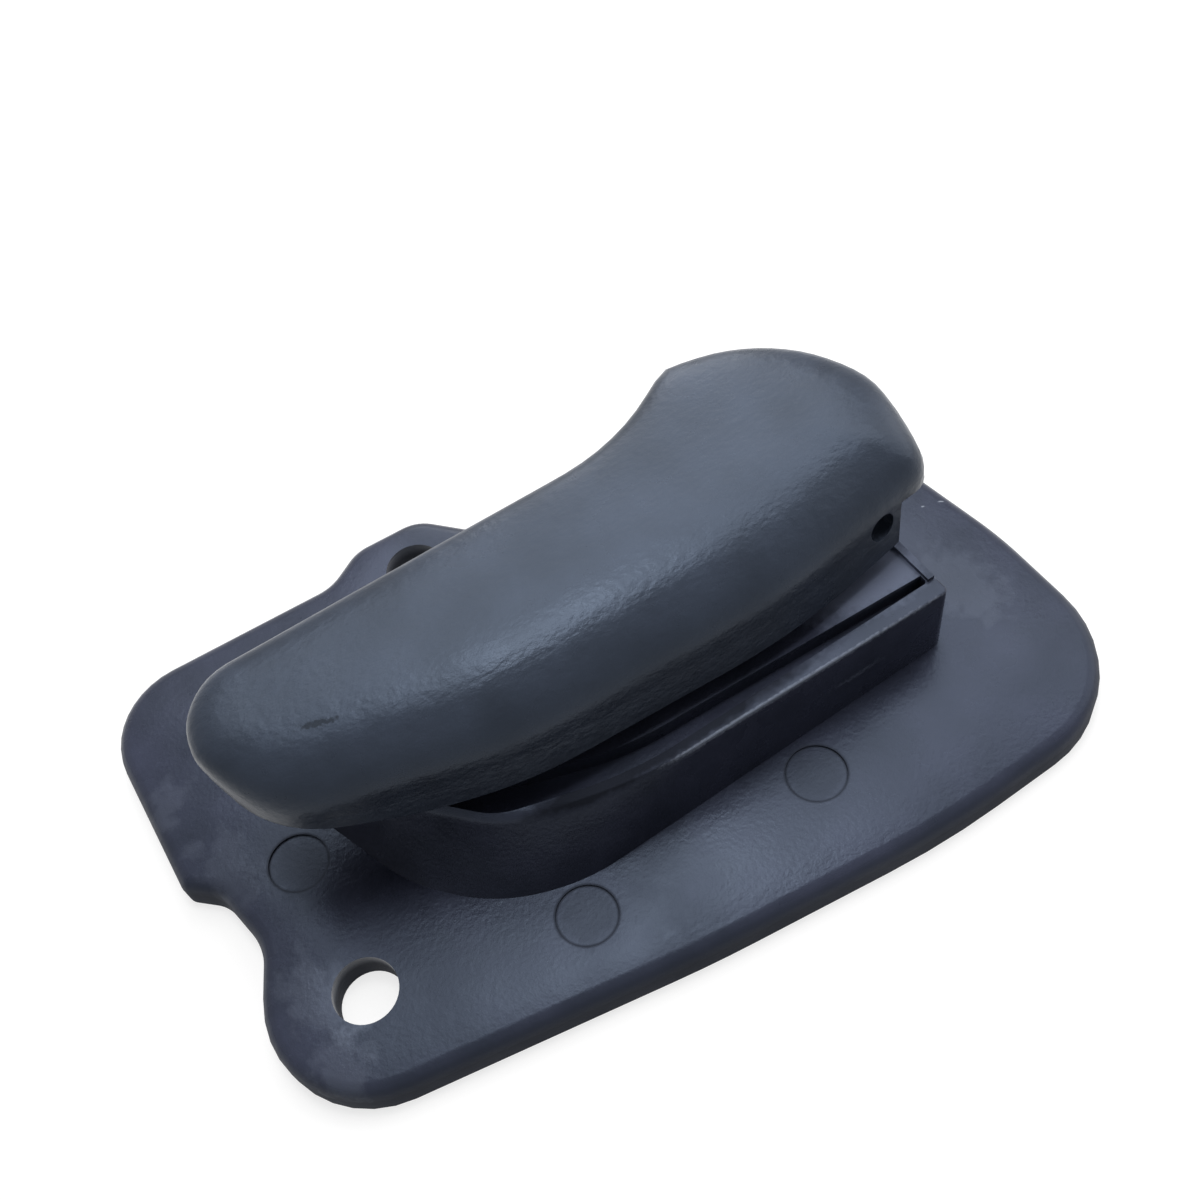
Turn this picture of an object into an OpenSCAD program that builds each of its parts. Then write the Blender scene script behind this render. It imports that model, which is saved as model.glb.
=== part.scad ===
/* [Main sizes] */
// Distance of the hinge axis right of the origin: the hinge end moves with it
pivot_x = 38; // [34:0.5:44]
// Distance of the flange's front edge from the origin
front_reach = 41.7; // [39:0.1:46]
// Distance of the ear's rear edge from the origin
ear_reach = 44.1; // [43:0.1:48]

/* [Flange] */
// Height of the flange edge, from the mounting face to its top
edge_h = 5; // [4:0.5:8]
// Rounding along the top edge of the flange
edge_round = 2; // [1:0.25:2.5]
// Wall thickness of the flange plate and of its turned-down edge
plate_wall = 2.4; // [1.8:0.2:3]
// Screw hole diameter
screw_d = 8.5; // [5:0.5:9]
// Boss diameter around each screw hole, at the back
boss_d = 13.5; // [12:0.5:15]
// Diameter of the round ejector marks on the face
mark_d = 8; // [4:0.5:10]
// Depth of the ejector marks
mark_depth = 0.25; // [0.1:0.05:0.5]
// Thickness of the ribs behind the flange
rib_t = 1.6; // [1:0.1:2]
// Diameter of the pad in the middle that rests on the door
pad_d = 9; // [6:0.5:12]

/* [Plinth] */
// Height of the plinth above the flange
plinth_h = 12; // [10:0.5:13]
// Height of the lip on the hinge end of the plinth, above its rim
lip_h = 0.6; // [0:0.1:0.8]
// Depth of the channel between the rim and the platform
channel_depth = 2.6; // [1:0.2:3]
// Wall thickness of the platform
platform_wall = 3; // [2:0.5:3.5]
// Lowest height of the finger scoop above the flange
scoop_floor = 2.6; // [2.6:0.2:5]
// Rounding of the finger scoop
scoop_round = 9; // [7:0.5:10]

/* [Lever] */
// Height of the lever's back above the flange, at its highest
lever_top = 29.5; // [27:0.5:31]
// Gap between the lever's front edge and the plinth rim
lever_gap = 3; // [2:0.2:4]
// How far the lever's back drops towards the free end
tip_drop = 1.5; // [0:0.5:3]
// How far the lower edge sweeps up towards the free end
tip_sweep = 4; // [0:0.5:5]
// Wall thickness of the lever
lever_wall = 2.4; // [1.8:0.2:3]
// Height of the rolled front shoulder
front_roll = 9; // [6:0.5:10]
// Height of the rolled rear edge
rear_roll = 4.5; // [3:0.5:6]

/* [Hinge] */
// Height of the hinge axis above the plinth rim
pivot_rise = 8; // [7.5:0.25:8.25]
// Pin diameter
pin_d = 3.9; // [3:0.1:4.2]
// Gap all round between the pin and its bores
pin_gap = 0.05; // [0.02:0.01:0.08]
// Thickness of each hinge lug
lug_t = 3.4; // [2.5:0.1:3.6]
// Radius of the hinge lugs
lug_r = 3.2; // [2.8:0.1:3.2]
// Side gap between neighbouring hinge parts
side_gap = 0.3; // [0.2:0.05:0.4]
// Thickness of the lever's tail
tail_t = 3; // [2.5:0.1:3.2]
// Width of the lever's tail
tail_w = 5.8; // [5:0.2:6]
// Diameter of the eye for the latch rod
eye_d = 3.5; // [2.5:0.1:3.6]

/* [Spring and stop] */
// Wire diameter of the return spring
wire_d = 0.8; // [0.6:0.05:0.8]
// Turns of the return spring
turns = 2.75; // [0.75:1:2.75]
// Mean radius of the spring's coil
coil_r = 3.1; // [3:0.05:3.2]
// Diameter of the rubber stop's head
stop_d = 7; // [5:0.5:8]
// Height of the rubber stop's head
stop_h = 4; // [2:0.5:5]
// Diameter of the rubber stop's stem
stem_d = 4; // [3:0.5:4.5]

/* [Hidden] */
$fn = 64;

ABS_GREY = "#3c404a";
STEEL = "#a9adb2";
RUBBER = "#191a1c";

// Screw holes: the front lobe and the ear on the rear edge
lobe = [-45.4, -15.9];
ear = [-8.8, ear_reach - 9.1];
screws = [lobe, ear];
// Centres of the ejector marks
marks = [[-44.3, 4.3], [-18, -24.2], [16.5, -26]];

// Corners of the flange as x, y and corner radius, turning left
lobe_round = 14.2;
flange_corners = [
    [-65.6, -25.4, lobe_round], [-8, 4.7 - front_reach, 200], [pivot_x - 13, -front_reach, 120],
    [pivot_x + 22, -front_reach, 17], [pivot_x + 22.2, -12, 60], [pivot_x + 15.9, 33.5, 15],
    [3.5, 34.4, 9], [-4, ear_reach - 0.8, 6], [-14.2, ear_reach, 6.5], [-20.2, 40.9, 7],
    [-57.3, 43.8, 11.5], [-58.7, 10.9, 2], [-54.9, 7.1, 5], [-53.4, -2.4, 8]];

// Corners of the plinth where it meets the flange, and around its rim
bow_round = 24;
plinth_foot = [
    [-34.2, -7.7, bow_round], [-27, -16.4, bow_round], [-16.5, -20.6, bow_round],
    [pivot_x + 4.4, -20.8, 2], [pivot_x + 4.4, 21, 5], [-20, 24.5, 60], [-45, 24.5, 12]];
plinth_rim = [
    [-31.8, -1.2, 20], [-21.5, -13.2, 14], [-4.5, -18.7, 60],
    [pivot_x + 4.2, -20.6, 0.8], [pivot_x + 4.2, 20.4, 4.5], [-20, 23, 60], [-38.5, 23, 11]];
// Inner edge of the rim, and outer edge of the platform inside it
rim_inside = [
    [-30, -1.5, 14], [-21, -12, 10], [-5, -17.2, 50], [pivot_x + 2.8, -18, 0.5],
    [pivot_x + 2.8, 12, 0.5], [-32, 12, 8]];
platform_edge = [
    [-24.5, -6, 6], [-4, -13.8, 40], [pivot_x + 5, -16.8, 0.5], [pivot_x + 5, 14, 0.5],
    [-24.5, 14, 5]];
edge_steps = 3;
plinth_end = pivot_x + 3.9;
lip_x = plinth_end - 1;

// Corners of the lever seen from above
lever_corners = [
    [-45.4, -1.6, 15], [-16, -12.2, 60], [pivot_x - 16, -15.2, 90], [pivot_x + 9.3, -11.5, 4.5],
    [pivot_x + 14.4, 2.3, 23.5], [pivot_x + 1.9, 18.4, 23.5], [pivot_x - 9.4, 21.7, 3.5],
    [pivot_x - 21.7, 15, 30], [-15, 16.35, 90], [-49.6, 18.7, 8.5]];
lever_stations = 56;
// The line that the lever's back rises to, from the free end to the hinge end
spine_from = -38;
spine_to = pivot_x - 4;
spine_low = [8, 1.2];
spine_bend = 0.0034;
// Where the back starts to drop, and where the lower edge starts to sweep up
drop_from = -8;
drop_to = -50;
sweep_from = -26;
sweep_to = -48;

// Heights above the mounting face
rim_z = edge_h + plinth_h;
platform_z = rim_z;
lever_z = rim_z + lever_gap;
back_z = edge_h + lever_top;
pivot_z = rim_z + pivot_rise;
rear_edge_z = lever_z + 4;
end_edge_z = lever_z + 6.6;

// Stations across the hinge, from the front
pin_bore_r = pin_d / 2 + pin_gap;
slot_half = 3.7;
lug_flat = lug_r - 0.1;
lug_out = slot_half + lug_t;
ear_in = lug_out + side_gap;
ear_t = 3;
pin_half = ear_in + 2.3;
tail_x = pivot_x - 2.1;
tail_y = -slot_half + side_gap + 0.2;
eye_z = 4.8;
tail_end_r = tail_w / 2;
chamber_x = pivot_x - 18;
chamber_y = 13;
slot_x = pivot_x - 14;
hinge_wall = 2.2;

// The rubber stop and the post that meets it
stop_at = [-16, -4.5];
stop_gap = 0.3;
post_z = platform_z + stop_h + stop_gap;
stem_gap = 0.1;

function ramp(a, b, v) = let (t = max(0, min(1, (v - a) / (b - a)))) t * t * (3 - 2 * t);
function mix(a, b, t) = a + (b - a) * t;
function unit(v) = v / norm(v);
function turned(v, a) = [v.x * cos(a) - v.y * sin(a), v.x * sin(a) + v.y * cos(a)];

// One rounded corner at b, moved inwards by inset
function corner(a, b, c, inset) =
    let (u = unit([a.x - b.x, a.y - b.y]),
         w = unit([c.x - b.x, c.y - b.y]),
         inward = unit(u + w),
         half = acos(u * w) / 2,
         side = sign(u.y * w.x - u.x * w.y),
         r = max(b[2] - side * inset, sharpest),
         centre = [b.x, b.y] + inward * (side * inset + r) / sin(half),
         start = unit(u / tan(half) - inward / sin(half)),
         steps = arc_steps(b[2]))
    [for (k = [0:steps]) centre + r * turned(start, side * (180 - 2 * half) * k / steps)];
sharpest = 0.3;
function arc_steps(r) = r < 3 ? 4 : r < 8 ? 7 : r < 100 ? 10 : 3;

// A closed outline with rounded corners, and some points along its edges
function rounded(corners, inset = 0, between = []) =
    let (n = len(corners),
         arcs = [for (i = [0:n - 1])
             corner(corners[(i + n - 1) % n], corners[i], corners[(i + 1) % n], inset)])
    [for (i = [0:n - 1]) let (end = arcs[i][len(arcs[i]) - 1], next = arcs[(i + 1) % n][0])
        each concat(arcs[i], is_undef(between[i]) ? []
            : [for (k = [1:1:between[i]]) mix(end, next, k / (between[i] + 1))])];

// The same outline as points in pairs, front and rear, at stations along X
function highest(v, i) = len([for (k = v) if (k > v[i]) k]) == 0;
function paired(p, count) =
    let (n = len(p),
         xs = [for (q = p) q.x],
         right = [for (i = [0:n - 1]) if (highest(xs, i)) i][0],
         left = [for (i = [0:n - 1]) if (highest(-xs, i)) i][0],
         front = [for (i = [left:right + n]) p[i % n]],
         rear = [for (i = [right:left]) p[i]],
         x = function (k) mix(xs[left], xs[right], (1 - cos(180 * k / count)) / 2))
    concat([p[left]],
           [for (k = [1:count - 1]) [x(k), lookup(x(k), front)]],
           [p[right]],
           [for (k = [count - 1:-1:1]) [x(k), lookup(x(k), rear)]]);

function strip(i, n) = let (a = (n - i) % n, b = n - i - 1)
    i == 0 ? [[0, 1, b]] : i == n / 2 - 1 ? [[i, i + 1, a]] : [[i, i + 1, b], [i, b, a]];
function level(outline, z) = [for (p = outline) [p.x, p.y, z]];

// A solid through a list of rings with equally many points. Its ends are
// flat, or strips between the pairs of a paired outline, or joined to each other
module skin(rings, ends = "flat") {
    n = len(rings[0]);
    m = len(rings);
    joined = ends == "joined";
    sides = [for (j = [0:m - (joined ? 1 : 2)], i = [0:n - 1]) let (k = (i + 1) % n, up = (j + 1) % m)
        each [[j * n + i, up * n + k, j * n + k], [j * n + i, up * n + i, up * n + k]]];
    first = joined ? [] : ends == "pairs" ? [for (i = [0:n / 2 - 1]) each strip(i, n)]
        : [[for (i = [0:n - 1]) i]];
    last = [for (f = first) [for (i = [len(f) - 1:-1:0]) (m - 1) * n + f[i]]];
    polyhedron([for (r = rings) each r], concat(sides, first, last), convexity = 8);
}

module block(from, to) {
    translate(from) cube(to - from);
}

// A cylinder along Y, around a point given as x and z
module rod(at, r, from, to) {
    translate([at.x, to, at.y]) rotate([90, 0, 0]) cylinder(r = r, h = to - from);
}

pivot = [pivot_x, pivot_z];

// The flange's turned-down edge: a wall with a rounded top that runs all round
lap = 0.4;
module flange_edge() {
    function ring(inset, z) = level(rounded(flange_corners, inset), z);
    under = edge_h - plate_wall;
    inside = plate_wall + 2 * lap;
    roll = [for (k = [0:edge_steps]) let (a = 90 * k / edge_steps)
        ring(edge_round * (1 - cos(a)), edge_h - edge_round * (1 - sin(a)))];
    skin(concat([ring(0, 0)], roll, [ring(inside, edge_h), ring(inside, under), ring(plate_wall, under),
                                     ring(plate_wall, 0)]), ends = "joined");
}

module flange_plate() {
    translate([0, 0, edge_h - plate_wall]) linear_extrude(plate_wall)
        polygon(rounded(flange_corners, plate_wall + lap));
}

// Ribs that carry the plate between the plinth and the turned-down edge
module flange_ribs() {
    intersection() {
        translate([0, 0, 1]) linear_extrude(edge_h - plate_wall)
            polygon(rounded(flange_corners, plate_wall / 2));
        union() {
            for (x = [-30, -10, 10, 30]) block([x - rib_t / 2, -50, 0], [x + rib_t / 2, -14, edge_h]);
            for (x = [-30, 20]) block([x - rib_t / 2, 14, 0], [x + rib_t / 2, 50, edge_h]);
            block([-60, 10 - rib_t / 2, 0], [-34, 10 + rib_t / 2, edge_h]);
            block([plinth_end - 3, -rib_t / 2, 0], [62, rib_t / 2, edge_h]);
        }
    }
}

// Outer form of the plinth: upright at the hinge end, sloping round the bow
module plinth_body() {
    edge_points = [0, 0, 4, 0, 3, 1, 1];
    foot = rounded(plinth_foot, between = edge_points);
    rim = rounded(plinth_rim, between = edge_points);
    inner = rounded(plinth_rim, 1, between = edge_points);
    soft = [for (p = rim) mix(0.25, 2.6, ramp(-12, -27, p.x))];
    ring = function (t, a) [for (i = [0:len(rim) - 1])
        let (p = mix(foot[i], rim[i], t) + (inner[i] - rim[i]) * soft[i] * (1 - cos(a)))
        [p.x, p.y, mix(edge_h - 1, rim_z, t) - (a > 0 || t == 1 ? soft[i] * (1 - sin(a)) : 0)]];
    skin([ring(0, 0), ring(1, 0), ring(1, 22), ring(1, 45), ring(1, 67), ring(1, 90)]);
}

// The channel that separates the rim from the platform
module channel() {
    translate([0, 0, rim_z - channel_depth]) linear_extrude(channel_depth + 1) difference() {
        polygon(rounded(rim_inside));
        polygon(rounded(platform_edge));
    }
}

// Space for fingers behind and under the lever, open to the rear
module finger_scoop() {
    floor_z = edge_h + scoop_floor + scoop_round;
    hull() for (x = [-25, 8], y = [9, 60], z = [floor_z, floor_z + 20])
        translate([x, y, z]) sphere(r = scoop_round, $fn = 24);
}

// Hollows moulded into the plinth from the back
module plinth_hollow() {
    roof = platform_z - platform_wall;
    block([chamber_x, -8, -1], [plinth_end - hinge_wall, chamber_y, roof]);
    difference() {
        for (c = [[-29, -10, -8], [-10, 10, -15], [10, chamber_x, -15]])
            block([c[0] + rib_t, c[2], -1], [c[1] - rib_t, -1.5, roof - 2]);
        translate([0, 0, -2]) cylinder(d = pad_d, h = roof);
    }
    block([chamber_x, -15, -1], [plinth_end - hinge_wall - 1, -8 - rib_t, roof - 2]);
}

module hinge_lugs() {
    rod(pivot, lug_r, -lug_out, lug_out);
    block([pivot_x - lug_flat, -lug_out, platform_z - 1], [pivot_x + lug_flat, lug_out, pivot_z]);
}

// The slot for the lever's tail, running up between the lugs
module tail_slot() {
    right = plinth_end - hinge_wall - 0.2;
    above = rim_z + lip_h + 0.1;
    translate([0, slot_half, 0]) rotate([90, 0, 0]) linear_extrude(2 * slot_half)
        polygon([[slot_x, 3], [right, 3], [right, above], [plinth_end + 3, above],
                 [plinth_end + 3, pivot_z + 6], [slot_x, pivot_z + 6]]);
}

module base() {
    color(ABS_GREY) difference() {
        union() {
            flange_edge();
            flange_plate();
            flange_ribs();
            for (p = screws) translate(p) cylinder(d = boss_d, h = edge_h - 1);
            cylinder(d = pad_d, h = edge_h - 1);
            difference() {
                union() {
                    plinth_body();
                    block([lip_x, -18, rim_z - 3], [plinth_end, 18, rim_z + lip_h]);
                }
                channel();
                finger_scoop();
            }
            hinge_lugs();
        }
        plinth_hollow();
        tail_slot();
        rod(pivot, pin_bore_r, -lug_out - 1, lug_out + 1);
        for (p = screws) translate([p.x, p.y, -1]) cylinder(d = screw_d, h = edge_h + 2);
        for (p = marks) translate([p.x, p.y, edge_h - mark_depth]) cylinder(d = mark_d, h = 1);
        translate([stop_at.x, stop_at.y, 0]) cylinder(r = stem_d / 2 + stem_gap, h = rim_z + 1);
    }
}

// The lever's plan and the line its back rises to
lever_plan = paired(rounded(lever_corners), lever_stations);
function spine(x) = [x, spine_low.y + spine_bend * pow(x - spine_low.x, 2)];
function nearest(p) = spine(max(spine_from, min(spine_to, p.x)));
// 1 along the front edge and 0 along the rear edge
function frontness(p) = (1 + unit(nearest(p) - p).y) / 2;
function top_z(x) = back_z - tip_drop * ramp(drop_from, drop_to, x);
function lower_z(p) = mix(rear_edge_z, lever_z, ramp(0.3, 0.7, frontness(p)))
    + tip_sweep * ramp(sweep_from, sweep_to, p.x);
function shoulder_z(p) = top_z(p.x) - mix(rear_roll, front_roll, ramp(0.5, 1, frontness(p)));

// A ring of the lever's skin: wall is the depth under the surface, t runs
// up the side wall and a round the shoulder to the spine
lean = tan(9);
tuck = 2.2;
function lever_ring(wall, t, a = 0) = [for (p = lever_plan)
    let (s = nearest(p), f = frontness(p), way = norm(s - p),
         low = lower_z(p), shoulder = shoulder_z(p) - (a > 0 ? 0 : wall * 0.5),
         z = mix(low, shoulder, t),
         inset = wall + lean * (z - low) * ramp(0.4, 0.9, f) + tuck * (1 - f) * pow(1 - t, 2),
         power = 2 / mix(4.6, 2.35, f),
         q = 1 - pow(cos(a), power),
         at = p + (s - p) / way * mix(inset, way * 0.985, q))
    [at.x, at.y, a > 0 ? mix(z, top_z(at.x) - wall, pow(sin(a), power)) : z]];

// The hollow moulded skin, as one closed solid
module lever_skin() {
    outer = [for (t = [0, 0.35, 0.7, 1]) lever_ring(0, t)];
    over = [for (a = [7, 17, 28, 39, 50, 60, 70, 79, 86]) lever_ring(0, 1, a)];
    under = [for (a = [80, 62, 44, 26, 10]) lever_ring(lever_wall, 1, a)];
    inner = [for (t = [1, 0]) lever_ring(lever_wall, t)];
    skin(concat(under, inner, outer, over), ends = "pairs");
}

// The arm that reaches through the platform to the latch rod
module lever_tail() {
    from = tail_y;
    to = tail_y + tail_t;
    rod(pivot, lug_r, from, to);
    block([pivot_x - lug_r, from, pivot_z], [pivot_x + lug_r, to, back_z - 1.6]);
    block([tail_x - tail_w / 2, from, eye_z], [tail_x + tail_w / 2, to, pivot_z]);
    rod([tail_x, eye_z], tail_end_r, from, to);
}

module lever_ears() {
    rod(pivot, lug_r, -ear_in - 1.8, -ear_in);
    rod(pivot, lug_r, ear_in, ear_in + ear_t);
    block([pivot_x - lug_r, ear_in, pivot_z], [pivot_x + lug_r, ear_in + ear_t, back_z - 1.6]);
}

module lever() {
    color(ABS_GREY) difference() {
        union() {
            difference() {
                lever_skin();
                translate([pivot_x + 3.6, -30, end_edge_z]) rotate([0, 8, 0]) translate([0, 0, -20])
                    cube([30, 60, 20]);
            }
            lever_tail();
            lever_ears();
            translate([stop_at.x, stop_at.y, post_z]) cylinder(r = 3, h = back_z - 4.5 - post_z);
        }
        rod(pivot, pin_bore_r, -20, ear_in + ear_t + 1);
        rod([tail_x, eye_z], eye_d / 2, tail_y - 1, tail_y + tail_t + 1);
    }
}

module pivot_pin() {
    chamfer = 0.4;
    color(STEEL) translate([pivot_x, pin_half, pivot_z]) rotate([90, 0, 0]) rotate_extrude()
        polygon([[0, 0], [pin_d / 2 - chamfer, 0], [pin_d / 2, chamfer],
                 [pin_d / 2, 2 * pin_half - chamfer], [pin_d / 2 - chamfer, 2 * pin_half],
                 [0, 2 * pin_half]]);
}

// Points of the spring wire: the leg under the platform, the coil, then the
// leg that presses on the tail
coil_from = slot_half - side_gap - wire_d / 2;
coil_pitch = wire_d * 1.02;
coil_to = coil_from - turns * coil_pitch;
leg_z = platform_z - platform_wall - wire_d / 2 - 0.1;
press_x = tail_x - tail_w / 2 - wire_d / 2 - 0.1;
coil_steps = 16;
function coil_point(k) = let (a = 270 + 360 * k / coil_steps)
    [pivot_x + coil_r * cos(a), coil_from - coil_pitch * k / coil_steps, pivot_z + coil_r * sin(a)];
wire_path = concat(
    [[chamber_x + 1, coil_from, leg_z], [slot_x + 2, coil_from, leg_z], [slot_x + 3.6, coil_from, leg_z + 0.6],
     [pivot_x - 5, coil_from, pivot_z - coil_r - 2.2], [pivot_x - 2.4, coil_from, pivot_z - coil_r - 0.3]],
    [for (k = [0:turns * coil_steps]) coil_point(k)],
    [[pivot_x - coil_r - 0.3, coil_to, pivot_z - 2.5], [press_x + 0.4, coil_to, 17.5],
     [press_x, coil_to, 13.5], [press_x, coil_to - 0.4, 12.2], [press_x, coil_to - 1.4, 11.7],
     [press_x, tail_y + 0.5, 11.7]]);

module return_spring() {
    n = len(wire_path);
    sides = 10;
    heading = [for (i = [0:n - 1]) unit(wire_path[min(i + 1, n - 1)] - wire_path[max(i - 1, 0)])];
    color(STEEL) skin([for (i = [0:n - 1])
        let (h = heading[i],
             u = unit(cross(h, abs(h.y) < 0.8 ? [0, 1, 0] : [1, 0, 0])),
             v = cross(h, u))
        [for (k = [0:sides - 1]) wire_path[i] + wire_d / 2 * (u * cos(360 * k / sides) + v * sin(360 * k / sides))]]);
}

module stop_bumper() {
    stem_l = platform_wall + 2;
    color(RUBBER) translate([stop_at.x, stop_at.y, platform_z]) rotate_extrude()
        polygon([[0, -stem_l], [stem_d / 2, -stem_l], [stem_d / 2, 0], [stop_d / 2, 0],
                 [stop_d / 2, stop_h - 0.8], [stop_d / 2 - 0.8, stop_h], [0, stop_h]]);
}

base();
lever();
pivot_pin();
return_spring();
stop_bumper();
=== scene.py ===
"""Looks of a car interior door handle: moulded base and pull lever on a hinge pin."""

import math

import bmesh
import bpy
from bpy.props import FloatProperty, FloatVectorProperty, PointerProperty, StringProperty
from bpy.types import Operator, Panel, PropertyGroup
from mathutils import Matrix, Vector


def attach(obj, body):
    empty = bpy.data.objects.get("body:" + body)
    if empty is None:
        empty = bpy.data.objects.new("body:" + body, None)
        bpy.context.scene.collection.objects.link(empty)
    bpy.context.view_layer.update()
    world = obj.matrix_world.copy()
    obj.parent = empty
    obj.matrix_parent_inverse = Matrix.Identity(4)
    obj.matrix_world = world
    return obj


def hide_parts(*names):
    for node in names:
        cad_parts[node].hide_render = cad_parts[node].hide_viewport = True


bl_info = {
    "name": "Car Interior Door Handle",
    "version": (1, 0, 0),
    "blender": (4, 5, 0),
    "location": "3D View > Sidebar > Door Handle",
    "description": "Dresses the packed door handle with moulded plastic, steel and rubber",
    "category": "Object",
}

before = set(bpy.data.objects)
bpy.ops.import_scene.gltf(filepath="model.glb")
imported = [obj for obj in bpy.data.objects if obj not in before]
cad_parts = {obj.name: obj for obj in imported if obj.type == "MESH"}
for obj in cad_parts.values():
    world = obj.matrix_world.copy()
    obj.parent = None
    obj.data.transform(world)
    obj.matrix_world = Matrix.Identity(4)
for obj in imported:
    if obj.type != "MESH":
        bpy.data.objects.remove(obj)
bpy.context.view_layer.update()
MM = 0.001
TAB = "Door Handle"
FLANGE_FACE = 5.0                  # height of the flange's face, in millimetres
RIM_TOP = 17.0                     # height of the plinth's rim and platform, in millimetres
WELD = 0.002 * MM                  # corners nearer than this are joined
ROUNDED_EDGE = math.radians(50)    # edges of a moulding over this angle are rounded
WIRE_EDGE = math.radians(50)       # edges of the spring's wire over this angle stay sharp
SENSOR_WIDTH = 36.0                # of the camera, in millimetres
NEAREST_SEEN = 5 * MM              # where the camera's view starts


# Colours and shader nodes

def hex_colour(text):
    """An sRGB hex colour as the linear colour that a shader takes."""
    def linear(channel):
        return channel / 12.92 if channel <= 0.04045 else ((channel + 0.055) / 1.055) ** 2.4
    return tuple(linear(int(text[i:i + 2], 16) / 255) for i in (1, 3, 5))


def add_node(tree, kind, settings=None, **inputs):
    """Adds a node with its settings, and sets or links the inputs given by name or place."""
    node = tree.nodes.new(kind)
    for name, value in (settings or {}).items():
        setattr(node, name, value)
    for name, value in inputs.items():
        by_place = name[1:].isdigit()
        socket = node.inputs[int(name[1:]) if by_place else name.replace("_", " ")]
        if isinstance(value, bpy.types.NodeSocket):
            tree.links.new(value, socket)
        else:
            socket.default_value = value
    return node


def new_material(name):
    """An empty node material, with its output and its Principled shader linked."""
    material = bpy.data.materials.new(name)
    material.use_nodes = True
    tree = material.node_tree
    tree.nodes.clear()
    shader = add_node(tree, "ShaderNodeBsdfPrincipled")
    add_node(tree, "ShaderNodeOutputMaterial", Surface=shader.outputs["BSDF"])
    return material, tree, shader


def noise(tree, coordinates, size_mm, detail=3.0, stretch=(1, 1, 1)):
    """Noise with features of about a real size, in millimetres, on the object's own metres."""
    mapped = add_node(tree, "ShaderNodeMapping", Vector=coordinates, Scale=stretch)
    return add_node(tree, "ShaderNodeTexNoise", Vector=mapped.outputs["Vector"],
                    Scale=1 / (size_mm * MM), Detail=detail, Roughness=0.55)


def between(tree, value, low, high, to_low=0.0, to_high=1.0):
    """Stretches a value's range from low and high to a new pair."""
    stretch = add_node(tree, "ShaderNodeMapRange", {"clamp": True}, Value=value, From_Min=low,
                       From_Max=high, To_Min=to_low, To_Max=to_high)
    return stretch.outputs["Result"]


def blend(tree, factor, colour_a, colour_b):
    """Mixes two colours by a factor."""
    mix = add_node(tree, "ShaderNodeMix", {"data_type": "RGBA"}, i0=factor, i6=colour_a, i7=colour_b)
    return mix.outputs[2]


def distance_from_middle(tree, vector):
    """How far a point lies from the origin of its coordinates."""
    away = add_node(tree, "ShaderNodeVectorMath", {"operation": "LENGTH"}, Vector=vector)
    return away.outputs["Value"]


def opaque(colour):
    """A linear colour with its alpha."""
    return (*colour, 1.0)


# Materials, each named for its real material and how it was made

def spot(tree, coordinates, centre, radii, turn=0.0, ragged=0.0):
    """1 in an oval spot and 0 outside, in millimetres. Its edge fades, and ragged breaks it up."""
    placed = add_node(tree, "ShaderNodeMapping", {"vector_type": "TEXTURE"}, Vector=coordinates,
                      Location=[c * MM for c in centre], Rotation=(0, 0, math.radians(turn)),
                      Scale=[r * MM for r in radii])
    distance = distance_from_middle(tree, placed.outputs["Vector"])
    if ragged:
        crumbs = noise(tree, coordinates, min(radii) * 0.9, detail=4).outputs["Fac"]
        rough_edge = between(tree, crumbs, 0.3, 0.7, -ragged, ragged)
        distance = add_node(tree, "ShaderNodeMath", {"operation": "ADD"}, i0=distance,
                            i1=rough_edge).outputs[0]
    fades_from = 0.55
    return between(tree, distance, fades_from, 1.0, 1.0, 0.0)


def ring(tree, coordinates, centre, radius, width):
    """1 on a thin ring and 0 off it, in millimetres: painted shade in the corner of a round recess."""
    placed = add_node(tree, "ShaderNodeMapping", {"vector_type": "TEXTURE"}, Vector=coordinates,
                      Location=(centre[0] * MM, centre[1] * MM, 0), Scale=(radius * MM, radius * MM, 1))
    distance = distance_from_middle(tree, placed.outputs["Vector"])
    off = add_node(tree, "ShaderNodeMath", {"operation": "SUBTRACT"}, i0=distance, i1=1.0)
    off = add_node(tree, "ShaderNodeMath", {"operation": "ABSOLUTE"}, i0=off.outputs[0])
    return between(tree, off.outputs[0], 0.0, width / radius, 1.0, 0.0)


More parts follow.
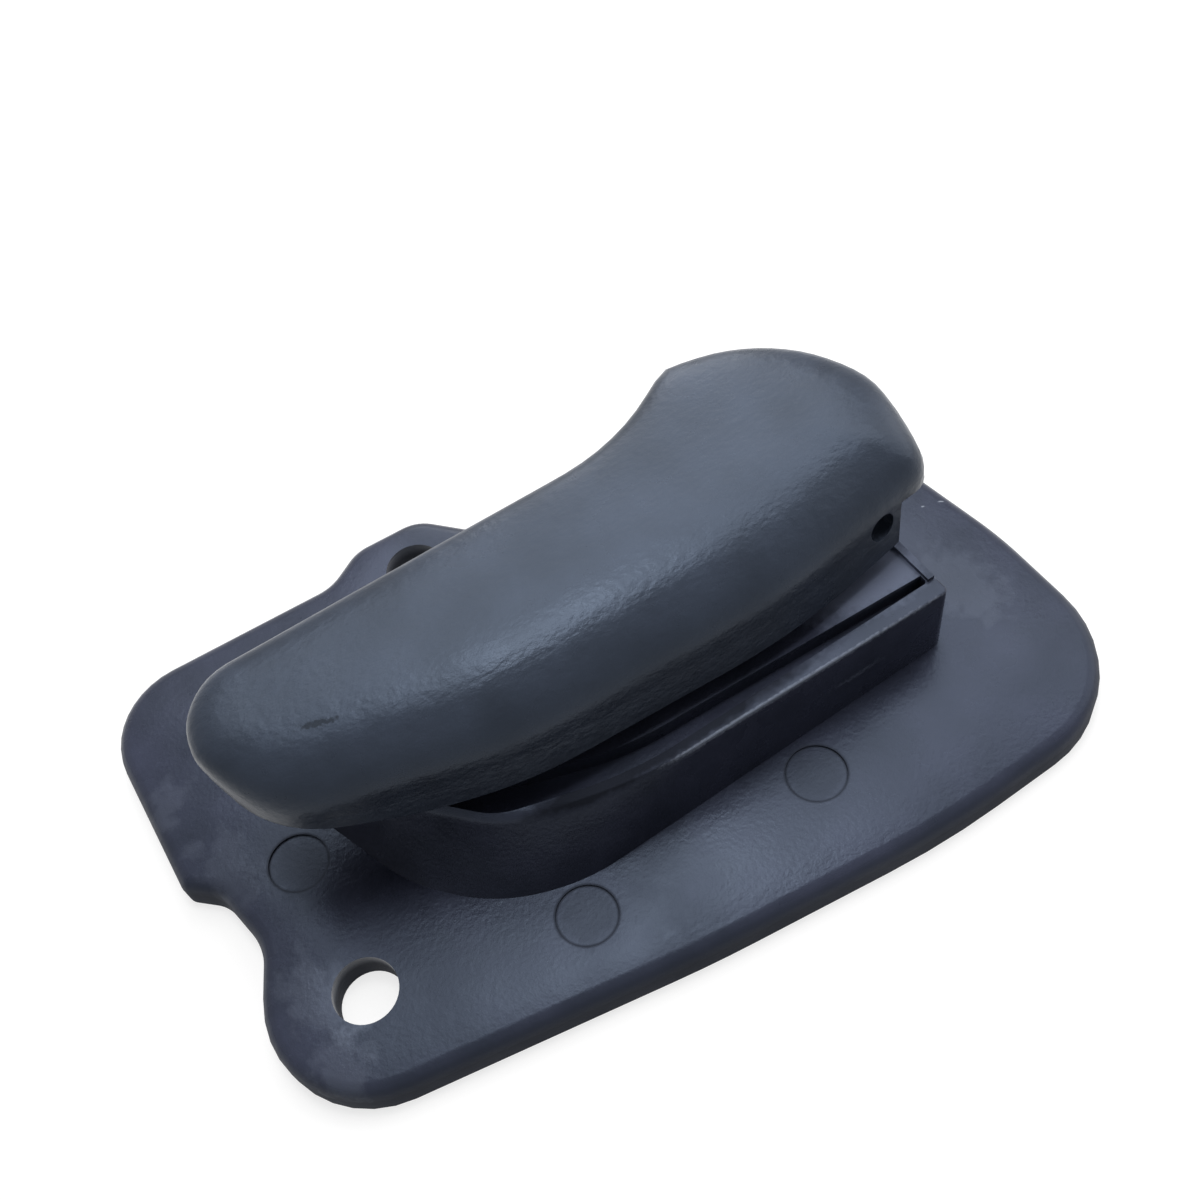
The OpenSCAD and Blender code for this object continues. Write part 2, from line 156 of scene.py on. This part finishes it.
def moulded_abs(name, look, dyes, skin, marks, rings=(), across=(1, 1, 1)):
    """Injection-moulded ABS, dyed slate grey: a satin skin copied from a finely blasted mould.

    The eye gets a soft wide sheen from above, a fine grain where that sheen ends, and faint cloudy
    handling marks. Real blasting is finer than a picture shows, so the grain is drawn coarser. Dyes
    are the clean and the clouded colour, and the skin is its grain in mm, its relief and its gloss.
    Each mark is (centre, radii, turn, ragged, colour, strength, added roughness), and each ring
    (centre, radius, width) is painted shade in the edge of an ejector mark's recess.
    """
    grain_mm, relief, gloss = skin
    material, tree, shader = new_material(name)
    here = add_node(tree, "ShaderNodeTexCoord").outputs["Object"]
    dye, bloom = (opaque(hex_colour(text)) for text in dyes)

    clouds = noise(tree, here, 14, detail=5).outputs["Fac"]
    fingers = noise(tree, here, 3.5, detail=4).outputs["Fac"]
    colour = blend(tree, between(tree, clouds, 0.38, 0.68, 0.0, look.cloudiness), dye, bloom)
    fingered = between(tree, fingers, 0.3, 0.7, look.roughness - 0.04, look.roughness + 0.05)
    clouded = between(tree, clouds, 0.35, 0.65, 0.1 * look.cloudiness, -0.05 * look.cloudiness)
    spread = add_node(tree, "ShaderNodeMath", {"operation": "ADD"}, i0=fingered, i1=clouded).outputs[0]
    # painted shade in the corner of each ejector mark's recess, duller there too
    ring_painted_shade = ("#101115", 0.75, 0.3)
    masks = [(spot(tree, here, *mark[:4]), *mark[4:]) for mark in marks]
    masks += [(ring(tree, here, *place), *ring_painted_shade) for place in rings]
    for mask, tint, strength, dulling in masks:
        weight = add_node(tree, "ShaderNodeMath", {"operation": "MULTIPLY"}, i0=mask, i1=strength)
        colour = blend(tree, weight.outputs[0], colour, opaque(hex_colour(tint)))
        spread = add_node(tree, "ShaderNodeMath", {"operation": "MULTIPLY_ADD"}, i0=mask, i1=dulling,
                          i2=spread).outputs[0]
    tree.links.new(colour, shader.inputs["Base Color"])
    tree.links.new(spread, shader.inputs["Roughness"])
    shader.inputs["IOR"].default_value = look.gloss_ior
    shader.inputs["Specular IOR Level"].default_value = look.sheen * gloss
    window_light = "#C8DCF8"
    shader.inputs["Specular Tint"].default_value = opaque(hex_colour(window_light))

    grain = noise(tree, here, grain_mm, detail=3, stretch=across).outputs["Fac"]
    grains_per_wave = 5
    peel = noise(tree, here, grain_mm * grains_per_wave, detail=2).outputs["Fac"]
    depth = look.grain_depth * relief
    grains = add_node(tree, "ShaderNodeBump", Height=grain, Distance=depth, Strength=1.0)
    wavy = add_node(tree, "ShaderNodeBump", Height=peel, Distance=depth, Strength=0.9,
                    Normal=grains.outputs["Normal"])
    tree.links.new(wavy.outputs["Normal"], shader.inputs["Normal"])
    return material


def worked_steel(name, tint, roughness, axis_stretch):
    """Steel, ground or drawn to size: bright, and slightly streaked along its working direction."""
    material, tree, shader = new_material(name)
    here = add_node(tree, "ShaderNodeTexCoord").outputs["Object"]
    streaks = noise(tree, here, 0.3, detail=4, stretch=axis_stretch).outputs["Fac"]
    colour = blend(tree, between(tree, streaks, 0.35, 0.7), opaque(hex_colour(tint)),
                   opaque([channel * 0.78 for channel in hex_colour(tint)]))
    tree.links.new(colour, shader.inputs["Base Color"])
    tree.links.new(between(tree, streaks, 0.3, 0.7, roughness - 0.06, roughness + 0.08),
                   shader.inputs["Roughness"])
    shader.inputs["Metallic"].default_value = 1.0
    bump = add_node(tree, "ShaderNodeBump", Height=streaks, Distance=0.01 * MM, Strength=0.6)
    tree.links.new(bump.outputs["Normal"], shader.inputs["Normal"])
    return material


def moulded_rubber(name, tint, dust_tint):
    """Black EPDM rubber, compression moulded: dull, a little dusty, with a soft uneven skin."""
    material, tree, shader = new_material(name)
    here = add_node(tree, "ShaderNodeTexCoord").outputs["Object"]
    dust = noise(tree, here, 1.4, detail=5).outputs["Fac"]
    colour = blend(tree, between(tree, dust, 0.45, 0.8, 0.0, 0.6), opaque(hex_colour(tint)),
                   opaque(hex_colour(dust_tint)))
    tree.links.new(colour, shader.inputs["Base Color"])
    tree.links.new(between(tree, dust, 0.3, 0.7, 0.74, 0.88), shader.inputs["Roughness"])
    shader.inputs["IOR"].default_value = 1.5
    bump = add_node(tree, "ShaderNodeBump", Height=dust, Distance=0.03 * MM, Strength=0.7)
    tree.links.new(bump.outputs["Normal"], shader.inputs["Normal"])
    return material


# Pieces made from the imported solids

def merged_copy(node_name, piece_name, body, sharp_angle):
    """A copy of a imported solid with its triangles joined, shaded smooth between its sharp edges."""
    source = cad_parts[node_name]
    bm = bmesh.new()
    bm.from_mesh(source.data)
    bmesh.ops.remove_doubles(bm, verts=bm.verts, dist=WELD)
    for face in bm.faces:
        face.smooth = True
        face.material_index = 0
    for edge in bm.edges:
        edge.smooth = not edge.is_manifold or edge.calc_face_angle(0.0) < sharp_angle
    mesh = bpy.data.meshes.new(piece_name)
    bm.to_mesh(mesh)
    bm.free()
    piece = bpy.data.objects.new(piece_name, mesh)
    bpy.context.scene.collection.objects.link(piece)
    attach(piece, body)
    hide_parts(node_name)
    return piece


def soften_edges(piece, radius):
    """Rounds a piece's sharp edges by a small radius, as a moulding's edges are."""
    bevel = piece.modifiers.new("soft_edges", "BEVEL")
    bevel.width = radius
    bevel.segments = 2
    bevel.limit_method = "ANGLE"
    bevel.angle_limit = ROUNDED_EDGE
    bevel.use_clamp_overlap = True


def finish_with(piece, material):
    """Gives a piece one material."""
    piece.data.materials.clear()
    piece.data.materials.append(material)


def refinish_node(node_name, material):
    """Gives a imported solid, whose shape stays, a better material."""
    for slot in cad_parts[node_name].material_slots:
        slot.material = material


# Stage: floor, sky and lamps

def seen_directly(tree):
    """1 for rays from the camera, a glossy surface or glass, which see a white room."""
    path = add_node(tree, "ShaderNodeLightPath").outputs
    looks = path["Is Camera Ray"]
    for kind in ("Is Glossy Ray", "Is Transmission Ray"):
        either = add_node(tree, "ShaderNodeMath", {"operation": "MAXIMUM"}, i0=looks, i1=path[kind])
        looks = either.outputs[0]
    return looks


def pale_floor(width):
    """A white floor just under the mounting face, with a soft shadow, and white where the lamps end."""
    drop = 0.05 * MM
    bm = bmesh.new()
    bmesh.ops.create_grid(bm, x_segments=1, y_segments=1, size=width / 2)
    bmesh.ops.translate(bm, verts=bm.verts, vec=(0, 0, -drop))
    mesh = bpy.data.meshes.new("floor")
    bm.to_mesh(mesh)
    bm.free()
    floor = bpy.data.objects.new("floor", mesh)
    bpy.context.scene.collection.objects.link(floor)
    material, tree, shader = new_material("White paper floor")
    shader.inputs["Base Color"].default_value = opaque(hex_colour("#959595"))
    shader.inputs["Roughness"].default_value = 0.9
    here = add_node(tree, "ShaderNodeTexCoord").outputs["Object"]
    glow_by_distance = between(tree, distance_from_middle(tree, here), 0.15, 0.6, 0.75, 0.97)
    glow = add_node(tree, "ShaderNodeMath", {"operation": "MULTIPLY"}, i0=seen_directly(tree),
                    i1=glow_by_distance)
    shader.inputs["Emission Color"].default_value = (1, 1, 1, 1)
    tree.links.new(glow.outputs[0], shader.inputs["Emission Strength"])
    finish_with(floor, material)


def world_light(strength):
    """White behind everything, and an even light from all round."""
    world = bpy.data.worlds.new("white_room")
    world.use_nodes = True
    tree = world.node_tree
    tree.nodes.clear()
    level = between(tree, seen_directly(tree), 0, 1, strength, 1.0)
    background = add_node(tree, "ShaderNodeBackground", Color=(1, 1, 1, 1), Strength=level)
    add_node(tree, "ShaderNodeOutputWorld", Surface=background.outputs["Background"])
    bpy.context.scene.world = world


def soft_lamp(name, place, aim, size, power):
    """A square soft lamp. Place, aim and size are in millimetres and power in watts."""
    light = bpy.data.lights.new(name, "AREA")
    light.shape = "SQUARE"
    light.size = size * MM
    light.energy = power
    lamp = bpy.data.objects.new(name, light)
    bpy.context.scene.collection.objects.link(lamp)
    lamp.location = Vector(place) * MM
    lamp.rotation_euler = (Vector(aim) - Vector(place)).to_track_quat("-Z", "Y").to_euler()


# Sizes and colours that a user would change. Colours are sRGB hex values.

class MouldingSettings(PropertyGroup):
    """The plastic of the base and the lever."""

    base_dye: StringProperty(name="Base colour", description="Colour of the base's clean plastic",
                             default="#252834")
    base_bloom: StringProperty(name="Base cloud colour", description="Colour of its clouded plastic",
                               default="#3A3D4E")
    lever_dye: StringProperty(name="Lever colour", description="Colour of the lever's clean plastic",
                              default="#262B35")
    lever_bloom: StringProperty(name="Lever cloud colour", description="Colour of its clouded plastic",
                                default="#383F4D")
    roughness: FloatProperty(name="Roughness", description="How far the plastic's sheen spreads",
                             default=0.27, min=0.2, max=0.9, subtype="FACTOR")
    gloss_ior: FloatProperty(name="IOR", description="Index of refraction of ABS",
                             default=1.53, min=1.4, max=1.7)
    sheen: FloatProperty(name="Sheen", description="Strength of the reflections, dulled by the grain",
                         default=0.3, min=0.0, max=1.0, subtype="FACTOR")
    grain_depth: FloatProperty(name="Grain depth", description="Depth of the mould's blasted grain",
                               default=0.06 * MM, min=0.0, max=0.2 * MM, unit="LENGTH")
    cloudiness: FloatProperty(name="Cloudiness", description="How strongly handling clouded the plastic",
                              default=0.7, min=0.0, max=1.0, subtype="FACTOR")
    edge_radius: FloatProperty(name="Edge radius", description="How far the mould's edges are rounded",
                               default=0.25 * MM, min=0.0, max=0.6 * MM, unit="LENGTH")
    sharp_angle: FloatProperty(name="Sharp angle", description="Edges over this angle stay sharp",
                               default=math.radians(32), min=math.radians(10), max=math.radians(90),
                               subtype="ANGLE")


class HingeSettings(PropertyGroup):
    """The steel and the rubber at the hinge."""

    pin_tint: StringProperty(name="Pin colour", description="Colour of the ground steel pin",
                             default="#B4B8BD")
    wire_tint: StringProperty(name="Spring colour", description="Colour of the spring's drawn wire",
                              default="#7E8288")
    rubber_tint: StringProperty(name="Rubber colour", description="Colour of the clean rubber stop",
                                default="#1B1B1D")
    dust_tint: StringProperty(name="Dust colour", description="Colour of the dust on the rubber stop",
                              default="#3A3A3C")


class StageSettings(PropertyGroup):
    """Camera and light."""

    eye: FloatVectorProperty(name="Eye", description="Where the camera stands", size=3,
                             default=(-38.3 * MM, -94.6 * MM, 180 * MM), subtype="TRANSLATION",
                             unit="LENGTH")
    tilt: FloatVectorProperty(name="Tilt", description="How the camera is turned", size=3,
                              default=[math.radians(angle) for angle in (33.425, 6.822, -34)],
                              subtype="EULER")
    lens: FloatProperty(name="Lens", description="Focal length on a sensor 36 mm wide", default=45.0,
                        min=1.0, unit="CAMERA")
    sky_light: FloatProperty(name="Sky light", description="Light from all round", default=0.1, min=0.0)
    ceiling_light: FloatProperty(name="Ceiling light", description="Power of the large ceiling lamp",
                                 default=3.8, min=0.0, unit="POWER")
    ridge_light: FloatProperty(name="Ridge light", description="Power of the small lamp overhead",
                               default=0.4, min=0.0, unit="POWER")
    rear_light: FloatProperty(name="Rear light", description="Power of the low lamp behind the handle",
                              default=1.0, min=0.0, unit="POWER")
    fill_light: FloatProperty(name="Fill light", description="Power of the soft lamp at the hinge end",
                              default=1.0, min=0.0, unit="POWER")


class HandleSettings(PropertyGroup):
    """Everything that can be set for the handle."""

    moulding: PointerProperty(type=MouldingSettings)
    hinge: PointerProperty(type=HingeSettings)
    stage: PointerProperty(type=StageSettings)


# Operators, one for each piece and one for the stage

class HANDLE_OT_base(Operator):
    """Dress the base moulding: flange, plinth and hinge lugs"""

    bl_idname = "handle.base"
    bl_label = "Base"

    def execute(self, context):
        look = context.scene.handle.moulding
        pale, pale_fleck = "#6F7686", "#A9B0BC"
        # centre, radii, turn, ragged, colour, strength, added roughness
        marks = [
            # painted shade on everything below the flange's face, its turned-down edge and the screw
            # hole's wall, which are duller too
            ((0, 0, 0.5), (400, 400, 4.3), 0, 0.0, "#15161B", 0.8, 0.45),
            # pale, glossier patches: two on the front lobe, two beside the lever's free end
            ((-50.6, -13.0, FLANGE_FACE), (4.5, 7.5, 3), 15, 0.45, pale, 0.2, -0.07),
            ((-52.5, -23.0, FLANGE_FACE), (4.0, 6.0, 3), -25, 0.5, pale, 0.2, -0.07),
            ((-52.0, 9.0, FLANGE_FACE), (4.0, 7.0, 3), 10, 0.5, pale, 0.15, -0.05),
            ((-55.6, 22.5, FLANGE_FACE), (5.0, 3.4, 3), 40, 0.5, pale, 0.15, -0.05),
            # the rim: painted shade of the lever on it, which is also duller, and a painted highlight
            # along its outer edge
            ((-2.0, -16.3, RIM_TOP), (31, 3.0, 2), -2.3, 0.15, "#121318", 0.8, 0.55),
            ((14.0, -19.55, RIM_TOP), (34, 0.5, 0.8), -2.3, 0.2, "#8A92A2", 0.6, 0.0),
            # a scuff on the plinth's front, painted light on the platform by the hinge, a pale patch
            # beside the plinth
            ((28.5, -21.2, 11), (5.5, 1.5, 0.6), -5, 0.5, pale, 0.35, -0.05),
            ((37.0, -12.5, RIM_TOP), (13, 6.5, 1.2), 0, 0.1, "#767E94", 0.6, 0.1),
            ((49.5, -15.0, FLANGE_FACE), (6, 9, 2), 20, 0.3, pale, 0.14, -0.04),
            # two small pale flecks beside the hinge
            ((57.2, -3.0, FLANGE_FACE), (0.5, 0.16, 1), -30, 0.3, pale_fleck, 0.55, 0.0),
            ((54.6, -2.1, FLANGE_FACE), (0.35, 0.14, 1), -30, 0.3, pale_fleck, 0.5, 0.0)]
        ejectors = ((-44.3, 4.3), (-18, -24.2), (16.5, -26))
        for centre in ejectors:
            marks.append(((*centre, FLANGE_FACE), (5, 5, 2), 0, 0.2, "#1F222A", 0.5, 0.08))
        # rings of painted shade at the ejector marks' edges
        radius, ring_shade_width = 4.0, 0.35
        rings = [(centre, radius, ring_shade_width) for centre in ejectors]
        dyes, skin = (look.base_dye, look.base_bloom), (0.6, 0.55, 0.82)
        piece = merged_copy("base", "base_moulding", "base", look.sharp_angle)
        soften_edges(piece, look.edge_radius)
        finish_with(piece, moulded_abs("Moulded ABS, slate, base", look, dyes, skin, marks, rings))
        return {"FINISHED"}


class HANDLE_OT_lever(Operator):
    """Dress the pull lever"""

    bl_idname = "handle.lever"
    bl_label = "Lever"

    def execute(self, context):
        look = context.scene.handle.moulding
        scratch = ((-33.5, 2.5, 33.4), (2.9, 0.55, 3), -22, 0.45, "#101216", 0.9, 0.3)
        dyes, skin = (look.lever_dye, look.lever_bloom), (0.8, 1.1, 1.0)
        piece = merged_copy("lever", "lever_moulding", "lever", look.sharp_angle)
        soften_edges(piece, look.edge_radius)
        finish_with(piece, moulded_abs("Moulded ABS, slate, lever", look, dyes, skin, [scratch],
                                       across=(0.65, 1, 1)))
        return {"FINISHED"}


class HANDLE_OT_hinge(Operator):
    """Dress the hinge pin, its spring and the rubber stop"""

    bl_idname = "handle.hinge"
    bl_label = "Hinge pin, spring and stop"

    def execute(self, context):
        look = context.scene.handle.hinge
        refinish_node("pivot_pin", worked_steel("Ground steel pin", look.pin_tint, 0.28, (1, 6, 1)))
        spring = merged_copy("return_spring", "return_spring_wire", "base", WIRE_EDGE)
        finish_with(spring, worked_steel("Drawn spring steel wire", look.wire_tint, 0.34, (1, 1, 1)))
        rubber = moulded_rubber("Compression-moulded rubber", look.rubber_tint, look.dust_tint)
        refinish_node("stop_bumper", rubber)
        return {"FINISHED"}


class HANDLE_OT_stage(Operator):
    """Set up the floor, the light and the camera"""

    bl_idname = "handle.stage"
    bl_label = "Stage"

    def execute(self, context):
        stage = context.scene.handle.stage
        floor_width = 1600
        pale_floor(floor_width * MM)
        world_light(stage.sky_light)
        soft_lamp("ceiling_lamp", (170, 265, 480), (170, 265, 0), 580, stage.ceiling_light)
        soft_lamp("ridge_lamp", (40, 60, 465), (40, 60, 0), 120, stage.ridge_light)
        soft_lamp("rear_lamp", (260, 560, 300), (0, 0, 0), 300, stage.rear_light)
        soft_lamp("fill_lamp", (480, -60, 280), (0, 0, 10), 440, stage.fill_light)
        camera = bpy.data.objects.new("camera", bpy.data.cameras.new("camera"))
        context.scene.collection.objects.link(camera)
        camera.location = stage.eye
        camera.rotation_euler = stage.tilt
        camera.data.lens = stage.lens
        camera.data.sensor_width = SENSOR_WIDTH
        camera.data.clip_start = NEAREST_SEEN
        context.scene.camera = camera
        context.scene.view_settings.view_transform = "Standard"
        return {"FINISHED"}


class HANDLE_PT_panel(Panel):
    """Lists the handle's settings and pieces"""

    bl_idname = "HANDLE_PT_panel"
    bl_label = "Door Handle"
    bl_space_type = "VIEW_3D"
    bl_region_type = "UI"
    bl_category = TAB

    def draw(self, context):
        settings = context.scene.handle
        for group in (settings.moulding, settings.hinge, settings.stage):
            box = self.layout.box()
            for name in group.__annotations__:
                box.prop(group, name)
        for operator in OPERATORS:
            self.layout.operator(operator.bl_idname)


OPERATORS = (HANDLE_OT_base, HANDLE_OT_lever, HANDLE_OT_hinge, HANDLE_OT_stage)
CLASSES = (MouldingSettings, HingeSettings, StageSettings, HandleSettings, *OPERATORS, HANDLE_PT_panel)


def register():
    for cls in CLASSES:
        bpy.utils.register_class(cls)
    bpy.types.Scene.handle = PointerProperty(type=HandleSettings)


def unregister():
    del bpy.types.Scene.handle
    for cls in reversed(CLASSES):
        bpy.utils.unregister_class(cls)


def main():
    register()
    bpy.ops.handle.base()
    bpy.ops.handle.lever()
    bpy.ops.handle.hinge()
    bpy.ops.handle.stage()


if __name__ == "__main__":
    main()
